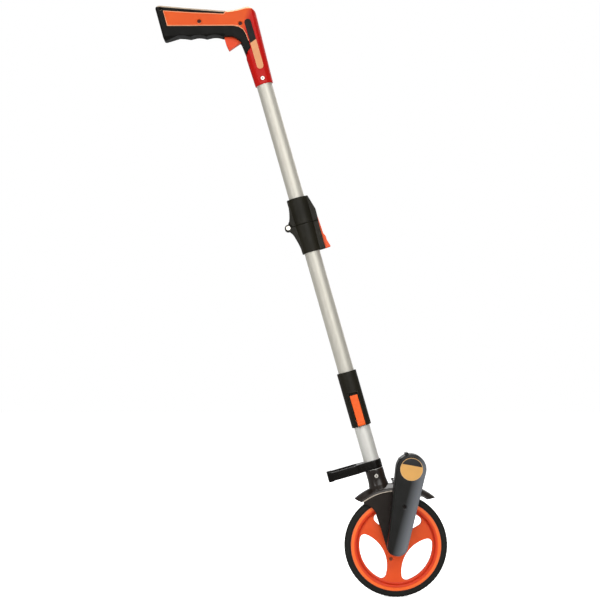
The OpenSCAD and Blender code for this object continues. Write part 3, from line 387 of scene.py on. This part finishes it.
# The counter's label is dark above a chord of its circle, the neck's above a slant
CHORD_LEFT, CHORD_RIGHT = from_axle(7.6, 128.7), from_axle(36.2, 123.5)
CHORD_UP = Vector((CHORD_LEFT.z - CHORD_RIGHT.z, 0, CHORD_RIGHT.x - CHORD_LEFT.x)).normalized()
printed("counter_print", srgb(214, 160, 84), srgb(16, 15, 15), CHORD_UP, CHORD_LEFT,
        rim=(HEAD, 0.0164, srgb(214, 168, 110)))
NECK_UP = (UP * 0.93 - ACROSS * 0.36).normalized()
printed("neck_print", srgb(216, 152, 106), srgb(20, 15, 14), NECK_UP, on_pole(NECK + 68, 0),
        spec=0.15, coat=0.0)

# Rubber
moulded("tyre_rubber", srgb(30, 30, 26), srgb(22, 22, 19), 0.72, grain=1100.0, pit=0.00012,
        strength=0.5, spec=0.3)
moulded("brake_rubber", srgb(30, 29, 28), srgb(20, 20, 19), 0.8, grain=1300.0, pit=0.00008,
        strength=0.5, spec=0.25)
moulded("belt_rubber", srgb(24, 24, 24), srgb(16, 16, 16), 0.75)

# Metal; the tubes' drawn lines run up the pole
DRAWN = {"stretch": (1, 1, 0.02), "turn": -TILT, "grain": 1400.0, "strength": 0.02}
metal("tube_upper", srgb(215, 212, 201), srgb(209, 205, 193), 0.5, metallic=0.55, **DRAWN)
metal("tube_lower", srgb(230, 230, 224), srgb(224, 223, 217), 0.5, metallic=0.5, **DRAWN)
metal("zinc", srgb(205, 205, 204), srgb(176, 176, 176), 0.28)
metal("pin_bright", srgb(240, 236, 226), srgb(226, 220, 208), 0.3, metallic=0.5)
metal("spring_steel", srgb(200, 200, 200), srgb(160, 160, 162), 0.3)
# The grip's screws are dark red, painted shade standing for the shaded orange walls of their
# recesses
metal("grip_screw", srgb(84, 14, 8), srgb(60, 9, 6), 0.6, metallic=0.0)
metal("black_screw", srgb(52, 46, 44), srgb(34, 30, 29), 0.4, metallic=0.8)
metal("brown_screw", srgb(150, 78, 50), srgb(116, 56, 36), 0.4, metallic=0.2)
metal("bronze", srgb(196, 148, 92), srgb(168, 120, 70), 0.45)
hollow_rivet("neck_rivet", -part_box("neck_rivets")[0][1])
hollow_rivet("socket_rivet", -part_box("socket_rivets")[0][1])

# ---- which material each CAD node takes ----

LOOKS = {
    "grip_orange": ["grip_shell_near", "grip_shell_far"],
    "trigger_orange": ["trigger"],
    "wheel_orange": ["wheel_disc"],
    "lever_orange": ["coupling_lever", "reset_knob"],
    "latch_orange": ["fold_latch"],
    "grip_black": ["grip_overmould"],
    "gloss_black": ["storage_clip"],
    "satin_black": ["fold_casting_upper", "fold_casting_lower", "coupling_sleeve"],
    "mudguard_black": ["fork"],
    "case_face": ["case_front"],
    "case_grey": ["case_back"],
    "inner_black": ["upper_rod_guides", "middle_rod_guides", "clamp_pad", "brake_shoe",
                    "spring_cap"],
    "white_nylon": ["drive_pulley", "counter_pulley"],
    "digit_wheel": ["number_wheel_2", "number_wheel_3", "number_wheel_4",
                    "number_wheel_5"],
    "digit_tenths": ["number_wheel_1"],
    "tyre_rubber": ["tyre"],
    "brake_rubber": ["brake_pad"],
    "belt_rubber": ["drive_belt"],
    "tube_upper": ["upper_tube", "middle_tube"],
    "tube_lower": ["lower_tube"],
    "zinc": ["trigger_pin", "axle", "axle_nut", "brake_guide_pin", "hub_flange",
             "counter_shaft", "upper_push_rod", "middle_push_rod", "lower_push_rod"],
    "pin_bright": ["fold_pin"],
    "neck_rivet": ["neck_rivets"],
    "socket_rivet": ["socket_rivets"],
    "spring_steel": ["trigger_spring", "latch_spring", "brake_spring"],
    "grip_screw": ["grip_screws"],
    "black_screw": ["case_screws", "latch_pin", "lever_pin"],
    "brown_screw": ["hub_screws"],
    "bronze": ["axle_bearings"],
    "counter_print": ["counter_label"],
    "neck_print": ["neck_label"],
    "clear_lens": ["counter_window"],
}
LOOK_OF = {node: look for look, nodes in LOOKS.items() for node in nodes}


def dress(piece, look):
    piece.data.materials.clear()
    piece.data.materials.append(MATERIALS[look])


for node, solid in NODES.items():
    dress(solid, LOOK_OF[node])
    for face in solid.data.polygons:
        face.material_index = 0

# ---- tools for pieces ----


def add(name, data):
    """A new object in the scene."""
    made = bpy.data.objects.new(name, data)
    bpy.context.scene.collection.objects.link(made)
    return made


def detail(piece, node, look):
    """Lets a new piece ride with a node's body, with its look."""
    dress(piece, look)
    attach(piece, BODY_OF[node])


def stand_for(piece, node):
    """Puts a new piece in a CAD node's place, with its look."""
    detail(piece, node, LOOK_OF[node])
    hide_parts(node)


def smooth_by_angle(mesh, degrees):
    for face in mesh.polygons:
        face.use_smooth = True
    mesh.set_sharp_from_angle(angle=math.radians(degrees))


def evaluated(piece):
    """A new mesh of a piece as it shows, with its modifiers or its text worked out."""
    graph = bpy.context.evaluated_depsgraph_get()
    return bpy.data.meshes.new_from_object(piece.evaluated_get(graph))


def apply_modifiers(piece):
    mesh = evaluated(piece)
    piece.modifiers.clear()
    piece.data = mesh


def built(name, shape):
    """A new object from a bmesh, which is freed."""
    mesh = bpy.data.meshes.new(name)
    shape.to_mesh(mesh)
    shape.free()
    return add(name, mesh)


def turned(name, outline, centre, segments, notch=None):
    """A closed outline of (radius, y) in millimetres, turned round an axis along Y.

    notch(ring, radius, y) gives the radius that a ring really has there."""
    shape = bmesh.new()
    rings = []
    for number in range(segments):
        angle = 2 * math.pi * number / segments
        ring = []
        for radius, y in outline:
            reach = (notch(number, radius, y) if notch else radius) * MM
            ring.append(shape.verts.new((centre.x + reach * math.cos(angle), y * MM,
                                         centre.z + reach * math.sin(angle))))
        rings.append(ring)
    for number, ring in enumerate(rings):
        after = rings[(number + 1) % segments]
        for k in range(len(outline)):
            beyond = (k + 1) % len(outline)
            shape.faces.new((ring[k], after[k], after[beyond], ring[beyond]))
    bmesh.ops.recalc_face_normals(shape, faces=shape.faces)
    piece = built(name, shape)
    smooth_by_angle(piece.data, 35)
    return piece


def beading(name, points, node, look):
    """A thin round bead along a path of points, riding with a node's body."""
    curve = bpy.data.curves.new(name, "CURVE")
    curve.dimensions = "3D"
    curve.bevel_depth = 0.8 * MM
    curve.bevel_resolution = 3
    curve.use_fill_caps = True
    path = curve.splines.new("POLY")
    path.points.add(len(points) - 1)
    for point, place in zip(path.points, points):
        point.co = (*place, 1)
    detail(add(name, curve), node, look)


# ---- mouldings with rounded edges and inside corners ----

FOOT_R, HEAD_R = 15.3 * MM, 22.9 * MM
# How far the dome sets the face's rim back, how far the rim rounds over beyond RIM_START
# of the way out, and how deep the skin is that moves
DOME, ROUND, SKIN = 1.1 * MM, 1.6 * MM, 1.6 * MM
RIM_START = 0.84


def crown(mesh):
    """Domes the counter case's face and rounds its rim, the more the further from its spine."""
    spine = HEAD - FOOT
    for vert in mesh.vertices:
        place = Vector((vert.co.x - FOOT.x, 0, vert.co.z - FOOT.z))
        share = min(max(place.dot(spine) / spine.length_squared, 0), 1)
        out = (place - spine * share).length / (FOOT_R + (HEAD_R - FOOT_R) * share)
        weight = min(max(1 - (vert.co.y - CASE_FRONT - SKIN / 2) / SKIN, 0), 1)
        rim = max(out - RIM_START, 0) / (1 - RIM_START)
        vert.co.y += weight * (DOME * min(out, 1) ** 2 + ROUND * min(rim, 1) ** 2)


def moulded_copy(node, voxel, rounds, keep, reshape=None):
    """The node's solid, remeshed, smoothed for some rounds and thinned to a share of its faces."""
    piece = add(node + "_body", NODES[node].data.copy())
    remesh = piece.modifiers.new("remesh", "REMESH")
    remesh.mode = "VOXEL"
    remesh.voxel_size = voxel * MM
    soften = piece.modifiers.new("soften", "SMOOTH")
    soften.factor = 0.5
    soften.iterations = rounds
    if reshape:
        apply_modifiers(piece)
        reshape(piece.data)
    thin = piece.modifiers.new("thin", "DECIMATE")
    thin.ratio = keep
    apply_modifiers(piece)
    smooth_by_angle(piece.data, 50)
    stand_for(piece, node)


# Each: the node, its voxels in millimetres, the rounds, and the share of faces kept
COPIES = [
    ("grip_shell_near", 0.7, 5, 0.2), ("grip_shell_far", 0.7, 5, 0.2),
    ("grip_overmould", 0.7, 8, 0.25), ("trigger", 0.5, 8, 0.3),
    ("fold_casting_upper", 0.5, 4, 0.2), ("fold_casting_lower", 0.5, 4, 0.2),
    ("fold_latch", 0.5, 6, 0.3), ("coupling_sleeve", 0.6, 5, 0.2),
    ("coupling_lever", 0.5, 6, 0.3), ("storage_clip", 0.5, 6, 0.25),
    ("fork", 0.6, 6, 0.15), ("case_front", 0.6, 6, 0.3, crown), ("case_back", 0.6, 5, 0.15),
    ("wheel_disc", 0.7, 5, 0.2), ("brake_pad", 0.6, 5, 0.3), ("spring_cap", 0.3, 4, 0.4),
    ("reset_knob", 0.5, 5, 0.3),
]
for copy in COPIES:
    moulded_copy(*copy)

# ---- springs that a moving piece presses: each a smoothed copy of its coil ----

# Each: the node, the joint, the spring's direction, its fixed end, and the share it keeps
SPRINGS = [
    ("trigger_spring", "trigger_pull", Vector((0, 0, 1)), from_neck(0, 87.8), 0.72),
    ("latch_spring", "latch_press", ACROSS, on_pole(FOLD_PLANE - 38.5, 13.9), 0.5),
    ("brake_spring", "brake_slide", UP, on_pole(FENDER_TOP, 0), 0.38),
]
for node, joint, axis, fixed_end, keep in SPRINGS:
    coil = add(node + "_coil", NODES[node].data.copy())
    smooth_by_angle(coil.data, 40)
    stand_for(coil, node)
    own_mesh(coil)

# ---- the tyre: rounded shoulders, a bead line on each side, two grooves and fine sipes ----

TYRE_HALF, BEAD_R, TYRE_FOOT_R, GROOVE_R = 8.0, 69.93, 66.98, 78.9
SIPE_EVERY, SIPE_DEEP = 5, 0.35
tyre_side = [
    (BEAD_R, TYRE_HALF), (71.2, TYRE_HALF), (71.5, 7.7), (71.9, 7.7), (72.2, TYRE_HALF),
    (75.4, TYRE_HALF), (76.6, 7.7), (77.6, 7.1), (78.5, 6.2), (79.1, 5.1), (79.45, 4.0),
    (TYRE_R, 2.9), (GROOVE_R, 2.6), (GROOVE_R, 2.0), (TYRE_R, 1.7),
]
tyre_foot = [(BEAD_R, -6.95), (TYRE_FOOT_R, -3.95), (TYRE_FOOT_R, 3.95), (BEAD_R, 6.95)]
tyre_outline = tyre_side + [(radius, -y) for radius, y in reversed(tyre_side)] + tyre_foot


def sipes(ring, radius, y):
    """Cuts every fifth ring's tread outside the grooves."""
    cut = ring % SIPE_EVERY == 0 and radius > GROOVE_R and abs(y) > 2.3
    return radius - SIPE_DEEP if cut else radius


stand_for(turned("tyre_turned", tyre_outline, AXLE, 360, sipes), "tyre")

# ---- the counter's label, domed like the case under it ----

LABEL_R, LABEL_THICK = 17.2, 0.5
label_y = CASE_FRONT / MM - 0.15
label_outline = [(0.01, label_y + LABEL_THICK), (0.01, label_y)]
label_outline += [(LABEL_R * k / 8, label_y) for k in range(1, 8)]
label_outline += [(LABEL_R - 0.1, label_y), (LABEL_R, label_y + 0.1),
                  (LABEL_R, label_y + LABEL_THICK)]
label = turned("counter_label_print", label_outline, HEAD, 96)
crown(label.data)
stand_for(label, "counter_label")

# ---- number wheels with their digits, ten round each; zero stands in the window ----

WINDOW_ANGLE, DIGIT_STEP = math.radians(124.5), math.radians(36)
DIGIT_R, DIGIT_WIDE, DIGIT_TALL = 19.0, 2.3, 5.6
# A digit narrower than this share of its height, the one, isn't stretched to full width
DIGIT_LEAST = 0.45
WHEEL_BORE_R, WEB_R, WEB_SUNK = 1.58, 16.5, 0.8
# Half of a number wheel's outline: radius, and how far in from its side
WHEEL_SIDE = [(WHEEL_BORE_R, WEB_SUNK), (WEB_R, WEB_SUNK), (WEB_R, 0), (DIGIT_R - 0.25, 0),
              (DIGIT_R - 0.03, 0.2)]


def digit_mesh(value):
    """A digit as a flat mesh one unit wide and tall, centred on the origin."""
    words = bpy.data.curves.new("digit", "FONT")
    words.body = str(value)
    holder = add("digit", words)
    bpy.context.view_layer.update()
    mesh = evaluated(holder)
    bpy.data.objects.remove(holder)
    across = [vert.co.x for vert in mesh.vertices]
    upward = [vert.co.y for vert in mesh.vertices]
    tall = max(upward) - min(upward)
    wide = max(max(across) - min(across), DIGIT_LEAST * tall)
    for vert in mesh.vertices:
        vert.co.x = (vert.co.x - (max(across) + min(across)) / 2) / wide
        vert.co.y = (vert.co.y - (max(upward) + min(upward)) / 2) / tall
    return mesh


def digit_ring(name, middle, flat_digits):
    """The digits laid round a number wheel whose middle is at a Y in millimetres."""
    shape = bmesh.new()
    for value, flat in enumerate(flat_digits):
        first = len(shape.verts)
        shape.from_mesh(flat)
        shape.verts.ensure_lookup_table()
        for vert in shape.verts[first:]:
            angle = WINDOW_ANGLE + DIGIT_STEP * value - vert.co.y * DIGIT_TALL / DIGIT_R
            vert.co = Vector((HEAD.x + DIGIT_R * MM * math.cos(angle),
                              (middle - vert.co.x * DIGIT_WIDE) * MM,
                              HEAD.z + DIGIT_R * MM * math.sin(angle)))
    return built(name, shape)


DIGITS = [digit_mesh(value) for value in range(10)]
for index in range(1, 6):
    node = "number_wheel_%d" % index
    low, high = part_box(node)
    near, far = low[1] / MM, high[1] / MM
    outline = [(radius, near + sunk) for radius, sunk in WHEEL_SIDE]
    outline += [(radius, far - sunk) for radius, sunk in reversed(WHEEL_SIDE)]
    stand_for(turned(node + "_turned", outline, HEAD, 90), node)
    detail(digit_ring(node + "_digits", (near + far) / 2, DIGITS), node, "digit_ink")

# ---- thin beads along edges, painted pale as highlights ----

# The mudguard's rolled lip on the counter's side, a bead painted pale as a highlight
LIP_R, LIP_Y, LIP_START, LIP_STEP = 84.7, -16.9, 127, 1.6
lip_angles = [math.radians(LIP_START - LIP_STEP * k) for k in range(41)]
lip = [from_axle(LIP_R * math.cos(angle), LIP_R * math.sin(angle), LIP_Y)
       for angle in lip_angles]
beading("mudguard_lip_highlight", lip, "fork", "mudguard_highlight_edge")

# The raised edge of the shell round the grip's panel, as (x, z) from the neck; it is painted pale
# as a highlight
PANEL_Y = 13.4
PANEL = [(-24.6, 67), (-28.2, 77.3), (-33.0, 85.2), (-39.9, 89.8), (-47.8, 91.4),
         (-151.0, 90.9), (-157.6, 113.7), (-111.8, 110.8), (-63.4, 108.9), (-60.2, 112.5)]
for half, side in (("near", -1), ("far", 1)):
    path = [from_neck(x, z, side * PANEL_Y) for x, z in PANEL]
    beading("panel_highlight_edge_" + half, path, "grip_shell_" + half, "panel_highlight_edge")

# ---- camera and lamps ----


def aim(thing, place, target):
    """Sets a camera or lamp at a place, looking at a target."""
    thing.location = place
    thing.rotation_euler = (Vector(target) - Vector(place)).to_track_quat("-Z", "Y").to_euler()


camera_data = bpy.data.cameras.new("camera")
camera_data.lens = 80.92
camera_data.sensor_width = 36
camera = add("camera", camera_data)
aim(camera, (-0.157, -2.1, 0.383), (-0.1482, 0, 0.4588))
bpy.context.scene.camera = camera

CENTRE = (-0.15, 0, 0.45)


def softbox(name, place, wide, tall, watts, mirrored=True):
    """A soft lamp that looks at the object's centre, and shows in gloss if mirrored."""
    light = bpy.data.lights.new(name, "AREA")
    light.shape = "RECTANGLE"
    light.size = wide
    light.size_y = tall
    light.energy = watts
    lamp = add(name, light)
    lamp.visible_glossy = mirrored
    aim(lamp, place, CENTRE)


softbox("key", (0.25, -2.0, 1.1), 1.9, 1.4, 25)
softbox("strip_left", (-1.5, -1.45, 0.6), 0.12, 1.9, 9)
softbox("fill_left", (-1.6, -2.0, 1.0), 1.2, 1.2, 6, mirrored=False)
softbox("top", (-0.15, 0.35, 2.1), 1.6, 1.0, 30)
softbox("back", (0.4, 1.6, 1.2), 1.6, 1.2, 10)

# ---- tools for the world and the floor ----


def cleared(owner):
    """The emptied node tree of a world or a material."""
    owner.use_nodes = True
    owner.node_tree.nodes.clear()
    return owner.node_tree


def source(tree, kind, strength, colour=(1, 1, 1)):
    """A Background or Emission node."""
    made = tree.nodes.new(kind)
    made.inputs["Color"].default_value = (*colour, 1)
    made.inputs["Strength"].default_value = strength
    return made


def sweep(tree, kind, coordinate, start, end, dim, bright):
    """A source whose strength rises along Y, from dim at start to bright at end."""
    made = source(tree, kind, 1.0)
    place = tree.nodes.new("ShaderNodeTexCoord")
    split = tree.nodes.new("ShaderNodeSeparateXYZ")
    tree.links.new(place.outputs[coordinate], split.inputs["Vector"])
    rise = tree.nodes.new("ShaderNodeMapRange")
    for key, value in (("From Min", start), ("From Max", end), ("To Min", dim),
                       ("To Max", bright)):
        rise.inputs[key].default_value = value
    tree.links.new(split.outputs["Y"], rise.inputs["Value"])
    tree.links.new(rise.outputs["Result"], made.inputs["Strength"])
    return made


def choose(tree, factor, one, two):
    """The first shader where the factor is nothing, the second where it is one."""
    made = tree.nodes.new("ShaderNodeMixShader")
    tree.links.new(factor, made.inputs["Fac"])
    tree.links.new(one.outputs[0], made.inputs[1])
    tree.links.new(two.outputs[0], made.inputs[2])
    return made


def finish_tree(tree, kind, shown):
    tree.links.new(shown.outputs["Shader"], tree.nodes.new(kind).inputs["Surface"])


# ---- the world: white to the camera, grey to gloss and glass, and soft light otherwise ----

world = bpy.data.worlds.new("studio")
bpy.context.scene.world = world
sky = cleared(world)
ray = sky.nodes.new("ShaderNodeLightPath")
soft = source(sky, "ShaderNodeBackground", 0.36, (1.0, 0.98, 0.95))
white = source(sky, "ShaderNodeBackground", 1.0)
grey = sweep(sky, "ShaderNodeBackground", "Generated", 0.45, 1.0, 0.1, 0.4)
either = sky.nodes.new("ShaderNodeMath")
either.operation = "MAXIMUM"
sky.links.new(ray.outputs["Is Glossy Ray"], either.inputs[0])
sky.links.new(ray.outputs["Is Transmission Ray"], either.inputs[1])
mirrored_sky = choose(sky, either.outputs[0], soft, grey)
finish_tree(sky, "ShaderNodeOutputWorld",
            choose(sky, ray.outputs["Is Camera Ray"], mirrored_sky, white))

# ---- the floor: pale to the camera with the object's shadow, grey to gloss ----

FLOOR_HALF, FLOOR_BELOW = 6.0, 0.0003
floor_material = bpy.data.materials.new("floor")
ground = cleared(floor_material)
ray = ground.nodes.new("ShaderNodeLightPath")
matt = ground.nodes.new("ShaderNodeBsdfDiffuse")
matt.inputs["Color"].default_value = (0.82, 0.82, 0.82, 1)
pale = ground.nodes.new("ShaderNodeAddShader")
ground.links.new(matt.outputs["BSDF"], pale.inputs[0])
glow = source(ground, "ShaderNodeEmission", 0.75)
ground.links.new(glow.outputs["Emission"], pale.inputs[1])
grey = sweep(ground, "ShaderNodeEmission", "Object", -0.5, 0.3, 0.12, 0.4)
mirrored_ground = choose(ground, ray.outputs["Is Glossy Ray"], matt, grey)
finish_tree(ground, "ShaderNodeOutputMaterial",
            choose(ground, ray.outputs["Is Camera Ray"], mirrored_ground, pale))

floor_mesh = bpy.data.meshes.new("floor")
corners = [(-1, -1), (1, -1), (1, 1), (-1, 1)]
floor_mesh.from_pydata([(x * FLOOR_HALF, y * FLOOR_HALF, 0) for x, y in corners],
                       [], [(0, 1, 2, 3)])
floor_mesh.materials.append(floor_material)
floor = add("floor", floor_mesh)
floor.location.z = -FLOOR_BELOW

bpy.context.scene.view_settings.view_transform = "Standard"
